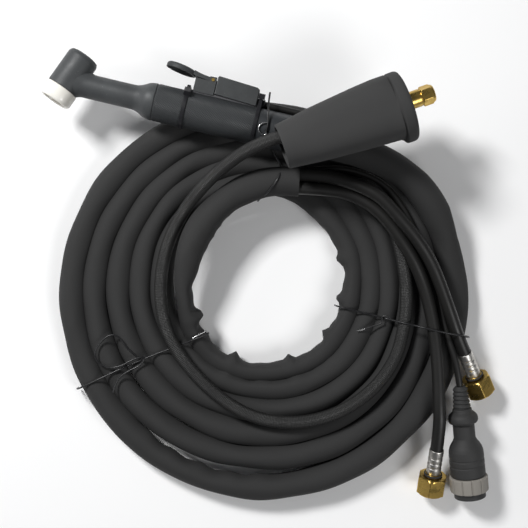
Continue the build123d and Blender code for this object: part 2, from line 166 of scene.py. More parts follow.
def grid_surface(
    name: str,
    points: np.ndarray,
    lengths: np.ndarray | None = None,
    looped: bool = False,
    sharp_degrees: float = 38.0,
) -> bpy.types.Object:
    """Closed surface from a grid of rings.

    Each ring is joined to the next, and round itself. The two end rings close to their middles, unless the
    surface is looped, when the last ring joins the first. The UV map holds millimetres: along the rings'
    order in U, and round a ring in V.

    Args:
        name: Object name.
        points: Array of rings by points by 3, in millimetres.
        lengths: Distance of each ring along the piece, for the UV map.
        looped: Whether the last ring joins the first.
        sharp_degrees: Edges over this angle stay sharp.

    Returns:
        The object, at the scene's origin.
    """
    rings, around = points.shape[:2]
    verts = points.reshape(-1, 3)
    if not looped:
        verts = np.vstack([verts, points[0].mean(0), points[-1].mean(0)])
    i, j = np.meshgrid(np.arange(rings if looped else rings - 1), np.arange(around), indexing="ij")
    i2, j2 = (i + 1) % rings, (j + 1) % around
    quads = np.stack([i * around + j, i * around + j2, i2 * around + j2, i2 * around + j], -1).reshape(-1, 4)
    faces = quads.tolist()
    if not looped:
        ring = np.arange(around)
        after = (ring + 1) % around
        first, last = rings * around, rings * around + 1
        faces += np.stack([np.full(around, first), after, ring], -1).tolist()
        base = (rings - 1) * around
        faces += np.stack([np.full(around, last), base + ring, base + after], -1).tolist()
    mesh = bpy.data.meshes.new(name)
    mesh.from_pydata((verts * MM).tolist(), [], faces)

    if lengths is None:
        steps = np.linalg.norm(np.diff(points[:, 0], axis=0), axis=1)
        lengths = np.concatenate([[0.0], np.cumsum(steps)])
    girth = float(np.linalg.norm(points[rings // 2] - np.roll(points[rings // 2], 1, 0), axis=1).sum())
    u1 = lengths[i]
    u2 = np.where(i2 == 0, lengths[i] + 1.0, lengths[i2])
    v1, v2 = j * girth / around, (j + 1) * girth / around
    quad_uv = np.stack([np.stack([u1, v1], -1), np.stack([u1, v2], -1), np.stack([u2, v2], -1),
                        np.stack([u2, v1], -1)], -2).reshape(-1, 2)
    uv = np.zeros((len(mesh.loops), 2))
    uv[: len(quad_uv)] = quad_uv
    uv[len(quad_uv):, 0] = lengths[-1]
    mesh.uv_layers.new(name="millimetres").data.foreach_set("uv", uv.astype(np.float32).ravel())
    tidy = bmesh.new()
    tidy.from_mesh(mesh)
    bmesh.ops.recalc_face_normals(tidy, faces=tidy.faces)
    tidy.to_mesh(mesh)
    tidy.free()
    smooth_shade(mesh, sharp_degrees)
    obj = bpy.data.objects.new(name, mesh)
    bpy.context.scene.collection.objects.link(obj)
    LOG.info("%s: %d rings of %d points", name, rings, around)
    return obj


def rounded(outline: list[tuple[float, float]], radius: float, closed: bool) -> np.ndarray:
    """Outline with each corner cut back and bent into a small arc.

    A corner becomes five points on the parabola whose control point is the corner itself. It starts and ends
    at the radius, or at 0.4 of the shorter side if that is less.

    Args:
        outline: Corners as (along, radius).
        radius: How far the rounding reaches along each side.
        closed: Whether the last corner joins the first.

    Returns:
        Array of points by 2.
    """
    corner = np.array(outline, float)
    before, after = np.roll(corner, 1, 0), np.roll(corner, -1, 0)
    back, on = before - corner, after - corner
    back_len = np.linalg.norm(back, axis=1, keepdims=True)
    on_len = np.linalg.norm(on, axis=1, keepdims=True)
    reach = np.minimum(radius, 0.4 * np.minimum(back_len, on_len))
    start, end = corner + back / back_len * reach, corner + on / on_len * reach
    t = np.linspace(0.0, 1.0, 5)[None, :, None]
    arcs = (1 - t) ** 2 * start[:, None] + 2 * t * (1 - t) * corner[:, None] + t**2 * end[:, None]
    if closed:
        return arcs.reshape(-1, 2)
    middle = arcs[1:-1].reshape(-1, 2)
    return np.vstack([corner[:1], middle, corner[-1:]])


@dataclass
class Turned:
    """Piece of revolution about a frame's X, with softened edges."""

    name: str
    place: Placement
    outline: list[tuple[float, float]]
    edge: float = 0.3
    closed: bool = False
    segments: int = 96

    def build(self) -> bpy.types.Object:
        """Make the surface: each outline point becomes a ring.

        Returns:
            The piece.
        """
        profile = rounded(self.outline, self.edge, self.closed)
        angle = np.linspace(0, 2 * np.pi, self.segments, endpoint=False)
        ring = self.radius(profile, angle)
        x = np.broadcast_to(profile[:, :1], ring.shape)
        local = np.stack([x, ring * np.cos(angle), ring * np.sin(angle)], -1)
        steps = np.concatenate([[0.0], np.cumsum(np.linalg.norm(np.diff(profile, axis=0), axis=1))])
        return grid_surface(self.name, self.place.world(local), steps, looped=self.closed)

    def radius(self, profile: np.ndarray, angle: np.ndarray) -> np.ndarray:
        """Radius of each ring at each angle: the outline's own radius all round.

        Args:
            profile: Outline points as (along, radius).
            angle: Angles of a ring's points.

        Returns:
            Array of rings by angles.
        """
        return np.repeat(profile[:, 1:2], len(angle), axis=1)


@dataclass
class HexTurned(Turned):
    """Turned piece whose outer side is cut to a hexagon, so that cones over it make a nut's chamfers."""

    flats: float = 22.0
    spin: float = 0.0
    segments: int = 192

    def radius(self, profile: np.ndarray, angle: np.ndarray) -> np.ndarray:
        """Smaller of the outline's radius and the hexagon's, which is half its flats over the cosine of the
        angle from the nearest flat's middle, with the corners rounded off a little.

        Args:
            profile: Outline points as (along, radius).
            angle: Angles of a ring's points.

        Returns:
            Array of rings by angles.
        """
        off = ((np.degrees(angle) + self.spin) % 60) - 30
        hexagon = self.flats / 2 / np.cos(np.radians(off))
        hexagon = np.minimum(hexagon, self.flats / 2 * 1.145)
        return np.minimum(profile[:, 1:2], hexagon[None, :])


@dataclass
class GroovedTurned(Turned):
    """Turned piece with grooves along its outer side."""

    grooves: int = 20
    groove_depth: float = 1.0
    outer_over: float = 14.0
    segments: int = 240

    def radius(self, profile: np.ndarray, angle: np.ndarray) -> np.ndarray:
        """Outline's radius less a narrow raised-cosine dip at each groove, where the outline is an outer one.

        Args:
            profile: Outline points as (along, radius).
            angle: Angles of a ring's points.

        Returns:
            Array of rings by angles.
        """
        dip = np.clip(np.cos(angle * self.grooves) * 7.0 - 6.0, 0, 1) ** 0.7
        outer = (profile[:, 1:2] > self.outer_over).astype(float)
        return profile[:, 1:2] - self.groove_depth * outer * dip[None, :]


# Finishes


class Weave(Enum):
    """Pattern that a finish's bump follows in the UV map."""

    NONE = "none"
    KNURL = "knurl"
    BRAID = "braid"
    RINGS = "rings"


def group(
    name: str, inputs: list[tuple[str, str, float]], outputs: list[tuple[str, str]],
) -> bpy.types.NodeTree:
    """New shader node group with its sockets.

    Args:
        name: Group name.
        inputs: Name, socket type and default of each input.
        outputs: Name and socket type of each output.

    Returns:
        The group, with "in" and "out" nodes.
    """
    tree = bpy.data.node_groups.new(name, "ShaderNodeTree")
    for label, kind, value in inputs:
        socket = tree.interface.new_socket(label, in_out="INPUT", socket_type=kind)
        if kind == "NodeSocketFloat":
            socket.default_value = value
    for label, kind in outputs:
        tree.interface.new_socket(label, in_out="OUTPUT", socket_type=kind)
    tree.nodes.new("NodeGroupInput").name = "in"
    tree.nodes.new("NodeGroupOutput").name = "out"
    return tree


def math_node(tree: bpy.types.NodeTree, operation: str, *values: object) -> bpy.types.NodeSocket:
    """Math node with sockets or numbers as its inputs.

    Args:
        tree: Tree that holds the node.
        operation: Blender's name of the operation.
        values: Numbers, or sockets to link.

    Returns:
        The node's result.
    """
    node = tree.nodes.new("ShaderNodeMath")
    node.operation = operation
    for socket, value in zip(node.inputs, values):
        if isinstance(value, (int, float)):
            socket.default_value = value
        else:
            tree.links.new(value, socket)
    return node.outputs[0]


class Effects:
    """Shader effects that several finishes share."""

    def __init__(self) -> None:
        """Make each group once."""
        self.mottle = self._mottle()
        self.grain = self._grain()
        self.diamonds = self._diamonds()
        self.braid = self._braid()
        self.rings = self._rings()

    def _mottle(self) -> bpy.types.NodeTree:
        """Soft blotches from 0 to 1, and fine dust as sparse specks.

        Returns:
            The group.
        """
        tree = group("mottle", [("Scale", "NodeSocketFloat", 60.0)],
                     [("Blotch", "NodeSocketFloat"), ("Dust", "NodeSocketFloat")])
        coords = tree.nodes.new("ShaderNodeTexCoord")
        wide = tree.nodes.new("ShaderNodeTexNoise")
        wide.inputs["Detail"].default_value = 4.0
        wide.inputs["Roughness"].default_value = 0.6
        tree.links.new(coords.outputs["Object"], wide.inputs["Vector"])
        tree.links.new(tree.nodes["in"].outputs["Scale"], wide.inputs["Scale"])
        span = tree.nodes.new("ShaderNodeMapRange")
        span.inputs["From Min"].default_value = 0.34
        span.inputs["From Max"].default_value = 0.68
        tree.links.new(wide.outputs["Fac"], span.inputs["Value"])
        tree.links.new(span.outputs["Result"], tree.nodes["out"].inputs["Blotch"])
        speck = tree.nodes.new("ShaderNodeTexNoise")
        speck.inputs["Scale"].default_value = 900.0
        speck.inputs["Detail"].default_value = 2.0
        tree.links.new(coords.outputs["Object"], speck.inputs["Vector"])
        keep = tree.nodes.new("ShaderNodeMapRange")
        keep.inputs["From Min"].default_value = 0.68
        keep.inputs["From Max"].default_value = 0.78
        tree.links.new(speck.outputs["Fac"], keep.inputs["Value"])
        tree.links.new(keep.outputs["Result"], tree.nodes["out"].inputs["Dust"])
        return tree

    def _grain(self) -> bpy.types.NodeTree:
        """Bump of fine moulded grain, with a height input that a pattern can add to.

        Returns:
            The group.
        """
        tree = group("grain", [("Scale", "NodeSocketFloat", 1500.0), ("Depth", "NodeSocketFloat", 0.00002),
                               ("Height", "NodeSocketFloat", 0.0)], [("Normal", "NodeSocketVector")])
        coords = tree.nodes.new("ShaderNodeTexCoord")
        noise = tree.nodes.new("ShaderNodeTexNoise")
        noise.inputs["Detail"].default_value = 3.0
        tree.links.new(coords.outputs["Object"], noise.inputs["Vector"])
        tree.links.new(tree.nodes["in"].outputs["Scale"], noise.inputs["Scale"])
        low = math_node(tree, "MULTIPLY", noise.outputs["Fac"], tree.nodes["in"].outputs["Depth"])
        total = math_node(tree, "ADD", low, tree.nodes["in"].outputs["Height"])
        bump = tree.nodes.new("ShaderNodeBump")
        bump.inputs["Distance"].default_value = 1.0
        tree.links.new(total, bump.inputs["Height"])
        tree.links.new(bump.outputs["Normal"], tree.nodes["out"].inputs["Normal"])
        return tree

    def _crossed(self, name: str, along: float, around: float) -> tuple[bpy.types.NodeTree, object, object]:
        """Start of a pattern of two crossed families of lines in the UV map.

        Args:
            name: Group name.
            along: Millimetres of one repeat along the piece.
            around: Millimetres of one repeat round it.

        Returns:
            The group and the two families' phases in repeats.
        """
        tree = group(name, [("Depth", "NodeSocketFloat", 0.0003)],
                     [("Height", "NodeSocketFloat"), ("Mask", "NodeSocketFloat")])
        uv = tree.nodes.new("ShaderNodeUVMap")
        parts = tree.nodes.new("ShaderNodeSeparateXYZ")
        tree.links.new(uv.outputs["UV"], parts.inputs["Vector"])
        u = math_node(tree, "DIVIDE", parts.outputs["X"], along)
        v = math_node(tree, "DIVIDE", parts.outputs["Y"], around)
        return tree, math_node(tree, "ADD", u, v), math_node(tree, "SUBTRACT", u, v)

    def _diamonds(self) -> bpy.types.NodeTree:
        """Raised diamonds: the lower of two crossed triangle waves.

        Returns:
            The group.
        """
        tree, a, b = self._crossed("diamonds", 2.2, 1.7)
        wave_a = math_node(tree, "PINGPONG", a, 0.5)
        wave_b = math_node(tree, "PINGPONG", b, 0.5)
        low = math_node(tree, "MULTIPLY", math_node(tree, "MINIMUM", wave_a, wave_b), 2.0)
        flat = math_node(tree, "MINIMUM", low, 0.6)
        tree.links.new(flat, tree.nodes["out"].inputs["Mask"])
        tree.links.new(math_node(tree, "MULTIPLY", flat, tree.nodes["in"].outputs["Depth"]),
                       tree.nodes["out"].inputs["Height"])
        return tree

    def _braid(self) -> bpy.types.NodeTree:
        """Over-and-under strands: two crossed sine waves, each on top in turn.

        Returns:
            The group.
        """
        tree, a, b = self._crossed("braid", 2.6, 2.06)
        wave_a = math_node(tree, "SINE", math_node(tree, "MULTIPLY", a, 2 * math.pi))
        wave_b = math_node(tree, "SINE", math_node(tree, "MULTIPLY", b, 2 * math.pi))
        over = math_node(tree, "MULTIPLY", wave_a, wave_b)
        level = math_node(tree, "MULTIPLY_ADD", over, 0.5, 0.5)
        tree.links.new(level, tree.nodes["out"].inputs["Mask"])
        tree.links.new(math_node(tree, "MULTIPLY", level, tree.nodes["in"].outputs["Depth"]),
                       tree.nodes["out"].inputs["Height"])
        return tree

    def _rings(self) -> bpy.types.NodeTree:
        """Turning marks: noise that changes only along the piece in the UV map.

        Returns:
            The group.
        """
        tree = group("turning", [("Depth", "NodeSocketFloat", 0.00001)],
                     [("Height", "NodeSocketFloat"), ("Mask", "NodeSocketFloat")])
        uv = tree.nodes.new("ShaderNodeUVMap")
        parts = tree.nodes.new("ShaderNodeSeparateXYZ")
        tree.links.new(uv.outputs["UV"], parts.inputs["Vector"])
        noise = tree.nodes.new("ShaderNodeTexNoise")
        noise.noise_dimensions = "1D"
        noise.inputs["Scale"].default_value = 6.0
        noise.inputs["Detail"].default_value = 4.0
        tree.links.new(parts.outputs["X"], noise.inputs["W"])
        tree.links.new(noise.outputs["Fac"], tree.nodes["out"].inputs["Mask"])
        tree.links.new(math_node(tree, "MULTIPLY", noise.outputs["Fac"], tree.nodes["in"].outputs["Depth"]),
                       tree.nodes["out"].inputs["Height"])
        return tree


@dataclass(frozen=True)
class Finish:
    """One surface finish, from which a material is made once."""

    name: str
    slot: str
    colour: tuple[float, float, float]
    shade: tuple[float, float, float]
    rough: tuple[float, float]
    metallic: float = 0.0
    coat: float = 0.0
    coat_rough: float = 0.1
    specular: float = 0.35
    sheen: float = 0.0
    mottle: float = 60.0
    dust: float = 0.0
    grain: float = 1500.0
    depth_um: float = 20.0
    weave: Weave = Weave.NONE
    weave_depth: float = 0.0
    # Painted shade: how much the base colour darkens in the pattern's low gaps.
    weave_gap_shade: float = 0.0

    def material(self, effects: Effects) -> bpy.types.Material:
        """Build the material, or return the one already built.

        Args:
            effects: The shared node groups.

        Returns:
            The material.
        """
        if self.name in bpy.data.materials:
            return bpy.data.materials[self.name]
        material = bpy.data.materials.new(self.name)
        material.use_nodes = True
        tree = material.node_tree
        shader = tree.nodes["Principled BSDF"]
        shader.inputs["Metallic"].default_value = self.metallic
        shader.inputs["Coat Weight"].default_value = self.coat
        shader.inputs["Coat Roughness"].default_value = self.coat_rough
        shader.inputs["Specular IOR Level"].default_value = self.specular
        shader.inputs["Sheen Weight"].default_value = self.sheen

        mottle = tree.nodes.new("ShaderNodeGroup")
        mottle.node_tree = effects.mottle
        mottle.inputs["Scale"].default_value = self.mottle
        blend = tree.nodes.new("ShaderNodeMix")
        blend.data_type = "RGBA"
        blend.inputs["A"].default_value = (*self.colour, 1)
        blend.inputs["B"].default_value = (*self.shade, 1)
        tree.links.new(mottle.outputs["Blotch"], blend.inputs["Factor"])
        colour = blend.outputs["Result"]
        if self.dust:
            dusty = tree.nodes.new("ShaderNodeMix")
            dusty.data_type = "RGBA"
            dusty.inputs["B"].default_value = (0.32, 0.31, 0.29, 1)
            speckle = math_node(tree, "MULTIPLY", mottle.outputs["Dust"], self.dust)
            tree.links.new(speckle, dusty.inputs["Factor"])
            tree.links.new(colour, dusty.inputs["A"])
            colour = dusty.outputs["Result"]
        rough = tree.nodes.new("ShaderNodeMapRange")
        rough.inputs["To Min"].default_value = self.rough[0]
        rough.inputs["To Max"].default_value = self.rough[1]
        tree.links.new(mottle.outputs["Blotch"], rough.inputs["Value"])
        tree.links.new(rough.outputs["Result"], shader.inputs["Roughness"])

        grain = tree.nodes.new("ShaderNodeGroup")
        grain.node_tree = effects.grain
        grain.inputs["Scale"].default_value = self.grain
        grain.inputs["Depth"].default_value = self.depth_um * 1e-6
        if self.weave is not Weave.NONE:
            pattern = tree.nodes.new("ShaderNodeGroup")
            pattern.node_tree = {
                Weave.KNURL: effects.diamonds, Weave.BRAID: effects.braid, Weave.RINGS: effects.rings,
            }[self.weave]
            pattern.inputs["Depth"].default_value = self.weave_depth * MM
            tree.links.new(pattern.outputs["Height"], grain.inputs["Height"])
            # Painted shade: the base colour darkens in the low gaps of the knurl and braid patterns, where
            # shade falls.
            if self.weave_gap_shade:
                gap_shade = tree.nodes.new("ShaderNodeMix")
                gap_shade.data_type = "RGBA"
                gap_shade.inputs["B"].default_value = (*(c * (1 - self.weave_gap_shade) for c in self.colour), 1)
                gap = math_node(tree, "SUBTRACT", 1.0, pattern.outputs["Mask"])
                tree.links.new(gap, gap_shade.inputs["Factor"])
                tree.links.new(colour, gap_shade.inputs["A"])
                colour = gap_shade.outputs["Result"]
        tree.links.new(grain.outputs["Normal"], shader.inputs["Normal"])
        tree.links.new(colour, shader.inputs["Base Color"])
        return material


RUBBER_GREY = Finish("moulded_grey_rubber", "moulded_rubber", (0.06, 0.064, 0.066), (0.043, 0.046, 0.048),
                     (0.42, 0.58), mottle=45, dust=0.25, grain=1300, depth_um=60)
WHITE = Finish("glazed_white", "glossy_white", (0.86, 0.84, 0.78), (0.8, 0.77, 0.7), (0.12, 0.24), coat=0.6,
               mottle=60, dust=0.1, grain=900, depth_um=6)
BRASS = Finish("turned_brass", "brass", (0.66, 0.46, 0.13), (0.5, 0.33, 0.09), (0.22, 0.38), metallic=1.0,
               mottle=130, grain=2500, depth_um=5, weave=Weave.RINGS, weave_depth=0.02)
COPPER = Finish("drawn_copper", "copper_tube", (0.8, 0.44, 0.28), (0.62, 0.32, 0.2), (0.25, 0.42),
                metallic=1.0, mottle=120, depth_um=5)
KNURLED = Finish("knurled_black", "black_handle", (0.05, 0.055, 0.058), (0.036, 0.039, 0.043), (0.42, 0.58),
                 mottle=50, dust=0.15, grain=1600, depth_um=20, weave=Weave.KNURL, weave_depth=0.32,
                 weave_gap_shade=0.6)
SMOOTH_BLACK = Finish("smooth_black", "black_handle", (0.037, 0.04, 0.043), (0.027, 0.03, 0.033),
                      (0.36, 0.5), mottle=50, dust=0.15, grain=1400, depth_um=25)
GREY_PLASTIC = Finish("grained_grey_plastic", "grey_plastic", (0.036, 0.039, 0.04), (0.027, 0.0295, 0.031),
                      (0.45, 0.62), mottle=90, dust=0.15, grain=2200, depth_um=45)
DARK_PLASTIC = Finish("dark_plastic", "dark_plastic", (0.018, 0.02, 0.022), (0.013, 0.014, 0.016),
                      (0.42, 0.58), mottle=80, grain=2000, depth_um=25)
TIE = Finish("black_nylon", "black_tie", (0.018, 0.018, 0.02), (0.012, 0.012, 0.014), (0.25, 0.4), coat=0.2,
             mottle=120, grain=1800, depth_um=10)
VINYL = Finish("jacket_vinyl", "jacket_vinyl", (0.009, 0.0098, 0.0108), (0.006, 0.0066, 0.0074), (0.26, 0.36),
               coat=0.45, coat_rough=0.16, mottle=28, grain=420, depth_um=35)
HOSE = Finish("black_hose", "hose_rubber", (0.0125, 0.0122, 0.0115), (0.009, 0.0088, 0.0084), (0.36, 0.5),
              mottle=45, dust=0.03, grain=1100, depth_um=30)
BRAID = Finish("braided_hose", "braid_rubber", (0.033, 0.033, 0.032), (0.021, 0.021, 0.021), (0.36, 0.52),
               mottle=70, grain=1500, depth_um=20, weave=Weave.BRAID, weave_depth=0.35, weave_gap_shade=0.8)
BOOT = Finish("boot_rubber", "boot_rubber", (0.015, 0.0165, 0.0178), (0.0105, 0.0118, 0.013), (0.3, 0.42),
              mottle=36, dust=0.02, grain=900, depth_um=30)
ALUMINIUM = Finish("crimped_aluminium", "aluminium_sleeve", (0.62, 0.6, 0.57), (0.46, 0.45, 0.42),
                   (0.3, 0.46), metallic=1.0, mottle=160, grain=2600, depth_um=8, weave=Weave.RINGS,
                   weave_depth=0.02)
SEAL = Finish("black_seal", "black_seal", (0.015, 0.015, 0.016), (0.01, 0.01, 0.011), (0.3, 0.42))
GREY_RING = Finish("grey_ring", "grey_ring", (0.024, 0.023, 0.02), (0.017, 0.0165, 0.015), (0.34, 0.48),
                   mottle=110, dust=0.05, grain=1900, depth_um=30)
BLACK_SHELL = Finish("black_shell", "black_shell", (0.0085, 0.0086, 0.0086), (0.006, 0.0061, 0.0062),
                     (0.26, 0.4), mottle=70, dust=0.02, grain=1500, depth_um=15)
CONTACT = Finish("plated_contact", "contact_pin", (0.86, 0.74, 0.48), (0.74, 0.6, 0.36), (0.14, 0.24),
                 metallic=1.0, grain=2600, depth_um=4)
WIRE = Finish("covered_wire", "tie_wire", (0.012, 0.012, 0.013), (0.02, 0.02, 0.021), (0.26, 0.4), mottle=150)
BARE_WIRE = Finish("bare_wire", "tie_wire", (0.55, 0.55, 0.55), (0.42, 0.42, 0.42), (0.2, 0.34), metallic=1.0)


# Cords


def centreline(name: str, points: Points) -> np.ndarray:
    """Points of the smooth line that a route's own points control.

    Args:
        name: Name for the temporary curve.
        points: The route, in millimetres.

    Returns:
        Array of points by 3, in millimetres.
    """
    curve = bpy.data.curves.new(name, "CURVE")
    curve.dimensions = "3D"
    spline = curve.splines.new("NURBS")
    spline.points.add(len(points) - 1)
    spline.points.foreach_set("co", [c for x, y, z in points for c in (x * MM, y * MM, z * MM, 1.0)])
    spline.order_u = 3
    spline.use_endpoint_u = True
    spline.resolution_u = 16
    obj = bpy.data.objects.new(name, curve)
    mesh = bpy.data.meshes.new_from_object(obj)
    line = np.empty(len(mesh.vertices) * 3)
    mesh.vertices.foreach_get("co", line)
    bpy.data.objects.remove(obj)
    bpy.data.curves.remove(curve)
    bpy.data.meshes.remove(mesh)
    return line.reshape(-1, 3) / MM


def even(line: np.ndarray, step: float) -> tuple[np.ndarray, np.ndarray]:
    """The same line at equal steps.

    Args:
        line: Points by 3.
        step: Wanted distance between points.

    Returns:
        The new points, and their distances along the line.
    """
    gaps = np.linalg.norm(np.diff(line, axis=0), axis=1)
    line = line[np.concatenate([[True], gaps > 1e-4])]
    run = np.concatenate([[0.0], np.cumsum(np.linalg.norm(np.diff(line, axis=0), axis=1))])
    at = np.linspace(0.0, run[-1], max(4, round(run[-1] / step)))
    return np.stack([np.interp(at, run, line[:, k]) for k in range(3)], -1), at


@dataclass
class Tube:
    """Round tube along a route. A subclass gives it folds and squashed turns."""

    name: str
    route: Points
    radius: float
    step: float = 1.6
    around: int = 28
    line: np.ndarray = field(init=False)
    run: np.ndarray = field(init=False)

    def __post_init__(self) -> None:
        """Work out the centreline at equal steps."""
        self.line, self.run = even(centreline(self.name, self.route), self.step)

    def frames(self) -> tuple[np.ndarray, np.ndarray, np.ndarray]:
        """Heading, side and upper direction at each point of the centreline.

        The side is square to the heading and level, so that a tube's top is known all along it.

        Returns:
            Three arrays of unit vectors.
        """
        heading = np.gradient(self.line, axis=0)
        heading /= np.linalg.norm(heading, axis=1, keepdims=True)
        side = np.cross([0.0, 0.0, 1.0], heading)
        side /= np.linalg.norm(side, axis=1, keepdims=True)
        return heading, side, np.cross(heading, side)

    def section(self, angle: np.ndarray) -> tuple[np.ndarray, np.ndarray]:
        """Distances of each ring's points to the side and upwards.

        Args:
            angle: Angles of a ring's points, from its side direction to its top.

        Returns:
            Two arrays of rings by angles.
        """
        ones = np.ones((len(self.run), 1))
        return ones * self.radius * np.cos(angle), ones * self.radius * np.sin(angle)

    def build(self) -> bpy.types.Object:
        """Make the tube's surface, with its two ends rounded in.

        Returns:
            The piece.
        """
        angle = np.linspace(0, 2 * np.pi, self.around, endpoint=False)
        _, side, up = self.frames()
        across, above = self.section(angle)
        rings = self.line[:, None] + across[..., None] * side[:, None] + above[..., None] * up[:, None]
        return grid_surface(self.name, rings, self.run, sharp_degrees=50)


COIL_RADII = (
    (157.0, 159.0, 160.2, 159.5, 161.0, 159.5, 152.0, 143.0),
    (135.0, 138.0, 135.5, 138.5, 142.0, 141.5, 136.0, 128.0),
    (119.0, 119.5, 115.5, 117.0, 122.0, 125.0, 122.5, 113.0),
    (103.5, 101.0, 95.5, 97.5, 103.0, 109.5, 109.0, 98.0),
    (88.0, 82.5, 76.5, 78.5, 86.0, 94.0, 95.0, 84.0),
    (71.0, 66.0, 62.0, 65.5),
)
FOLD_BEARINGS = (25.0, 357.0, 328.0, 291.0, 244.0, 196.0, 140.0)
POINTS_A_TURN = 24
JACKET_LEAD: Points = [
    (38.8, 126.15, 41.8), (62.6, 120.5, 41.8), (86.9, 113.5, 40), (111, 101.5, 38),
    (132.5, 81, 33), (147.3, 53.8, 22), (154, 24.4, 13.5),
]
JACKET_TAIL: Points = [
    (-46.5, -46.1, 12.5), (-60.5, -23.3, 21), (-65.1, 4.1, 31), (-62.7, 31.7, 37.6),
    (-51.3, 56.8, 38), (-34.4, 75.4, 38), (-13.3, 88.3, 37.9), (7.7, 94, 37.8), (27.9, 92.8, 37.8),
]


def coil_route() -> Points:
    """Turns of the coil, clockwise and inwards from its right side to the start of the jacket's tail.

    Each row of radii is one turn, at eight bearings that follow each other clockwise from the right. The
    radius between two of them is a Catmull-Rom blend of the four nearest.

    Returns:
        The points.
    """
    radii = np.concatenate([np.array(row) for row in COIL_RADII])
    turns = np.arange(0, POINTS_A_TURN * (len(radii) - 1) // 8) / POINTS_A_TURN
    low = np.floor(turns * 8).astype(int)
    t = turns * 8 - low
    a, b, c, d = (radii[np.clip(low + k, 0, len(radii) - 1)] for k in (-1, 0, 1, 2))
    radius = 0.5 * (2 * b + (c - a) * t + (2 * a - 5 * b + 4 * c - d) * t**2 + (3 * b - a - 3 * c + d) * t**3)
    angle = -turns * 2 * np.pi
    return [(float(r * math.cos(w)), float(r * math.sin(w)), 12.5) for r, w in zip(radius, angle)]


@dataclass
class Jacket(Tube):
    """Soft jacket: its outer turn bulges, the turns press each other narrow, and its inside is pinched."""

    def section(self, angle: np.ndarray) -> tuple[np.ndarray, np.ndarray]:
        """Half widths that change slowly along the jacket, with folds across it.

        The side that faces the coil's middle and the outer side have their own half widths. The outer turn
        bulges at the right, and stands apart from the next at the bottom, where its inside has small teeth.
        The innermost turn is thin on its inner side, with a sharp fold that stands out at each fold bearing.
        The tail is narrow where it climbs on to the coil. Long soft folds are sums of sines of the distance
        along the jacket, with a phase that leans with the angle.

        Args:
            angle: Angles of a ring's points, from its side direction to its top.

        Returns:
            Two arrays of rings by angles.
        """
        s = self.run[:, None]
        x, y, z = self.line[:, :1], self.line[:, 1:2], self.line[:, 2:3]
        away = np.hypot(x, y)
        bearing = np.degrees(np.arctan2(y, x)) % 360
        lying = np.clip((20 - z) / 7, 0, 1)
        first = np.clip((away - 149) / 6, 0, 1) * lying
        apart = np.exp(-(((bearing - 249) / 24) ** 4))
        second = np.clip(1 - np.abs(away - 138) / 9, 0, 1) ** 0.5 * lying
        swell = first * np.exp(-((((bearing + 194) % 360 - 180) / 34) ** 2))
        teeth = np.abs(np.sin(s / 8.6)) ** 2.2
        outer_half = 10.4 + 3.1 * swell + 0.4 * swell * np.sin(s / 14) - 1.3 * second * apart
        inner_half = 10.4 + 1.6 * swell + first * (0.9 - 2.9 * apart + 1.9 * apart * teeth)

        folds = sum(np.exp(-((((bearing - at + 180) % 360 - 180) / 3.4) ** 2)) for at in FOLD_BEARINGS)
        inmost = np.clip((81 - away) / 6, 0, 1) * np.clip((37 - z) / 6, 0, 1)
        pinched = 6.4 + 0.5 * np.sin(s / 3.1) + 0.5 * np.sin(s / 5.3) + 5.6 * folds
        inner_half = inner_half * (1 - inmost) + np.minimum(pinched, 12.3) * inmost
        raised = np.clip((z - 20) / 8, 0, 1)
        tail = raised * (s > s.max() / 2)
        lead = raised * (s < s.max() / 2)
        slim = np.exp(-(((bearing - 186) / 26) ** 2))
        outer_half = outer_half + tail * (1.5 - 4.2 * slim) + lead * 2.0
        inner_half = inner_half + tail * (1 - inmost) * 1.5 + lead * 2.0

        ripple = 0.3 * np.sin(s / 17.3 + 1.2 * np.sin(s / 61)) + 0.22 * np.sin(s / 9.1 + 2.0)
        lean = 0.2 * np.sin(s / 7.7 + 2 * angle) + 0.2 * np.sin(s / 13.9 - 3 * angle + 1.0)
        creasing = np.abs(np.sin(s / 6.7 + 2.2 * np.sin(s / 19) + angle)) ** 0.5
        crumple = np.clip((98 - away) / 22, 0, 1) * creasing
        soft = ripple + lean - 0.9 * crumple * np.clip(-np.cos(angle) + 0.35, 0, 1)
        half = np.where(np.cos(angle) > 0, outer_half, inner_half)
        tall = 12.3 - 0.6 * swell - 0.7 * inmost * (1 - folds) + np.minimum(soft, 0.1)
        wide = np.minimum(half + soft, np.where(swell > 0.02, 15.0, 12.5))
        return wide * np.cos(angle), np.clip(tall * np.sin(angle), -12.4, 12.4)


HANDLE_PLACE, HANDLE_HEADING, HANDLE_ROLL = (-87.8, 156.3, 41.8), -13.4, -5.0
HEAD_PLACE, HEAD_ANGLE = (-72.9, 0.5, 0), 69.1
BOOT_MOUTH, BOOT_FRONT, BOOT_LENGTH = (13.8, 116.8, 79.2), (110.2, 151.6, 76.2), 103.0
GAS_HOSE: Points = [
    (28.2, 98.1, 40.9), (46.3, 97.6, 44), (63.6, 93, 47.5), (79.5, 87, 50), (93, 79.5, 51.2),
    (105.5, 65.5, 50.7), (121, 48, 47.5), (133.5, 29.3, 43), (141.7, 10.7, 39.5), (150.8, -14, 36),
    (157.2, -31.8, 32), (163.6, -46, 27.1), (171.8, -63.4, 19.6),
]
WATER_HOSE: Points = [
    (27.6, 87.4, 40.9), (46.3, 86.3, 41), (65.5, 83.6, 41.4), (83.3, 75.5, 42.6), (97.1, 63.4, 43.4),
    (109.1, 46.7, 43), (120.6, 28.7, 40.5), (128.6, 10.2, 37.5), (135.2, -14.3, 36.4),
    (138.9, -38.8, 36.2), (141, -63.9, 36), (141.6, -88.2, 36), (142.6, -107, 34.2), (139.4, -144, 19.4),
]
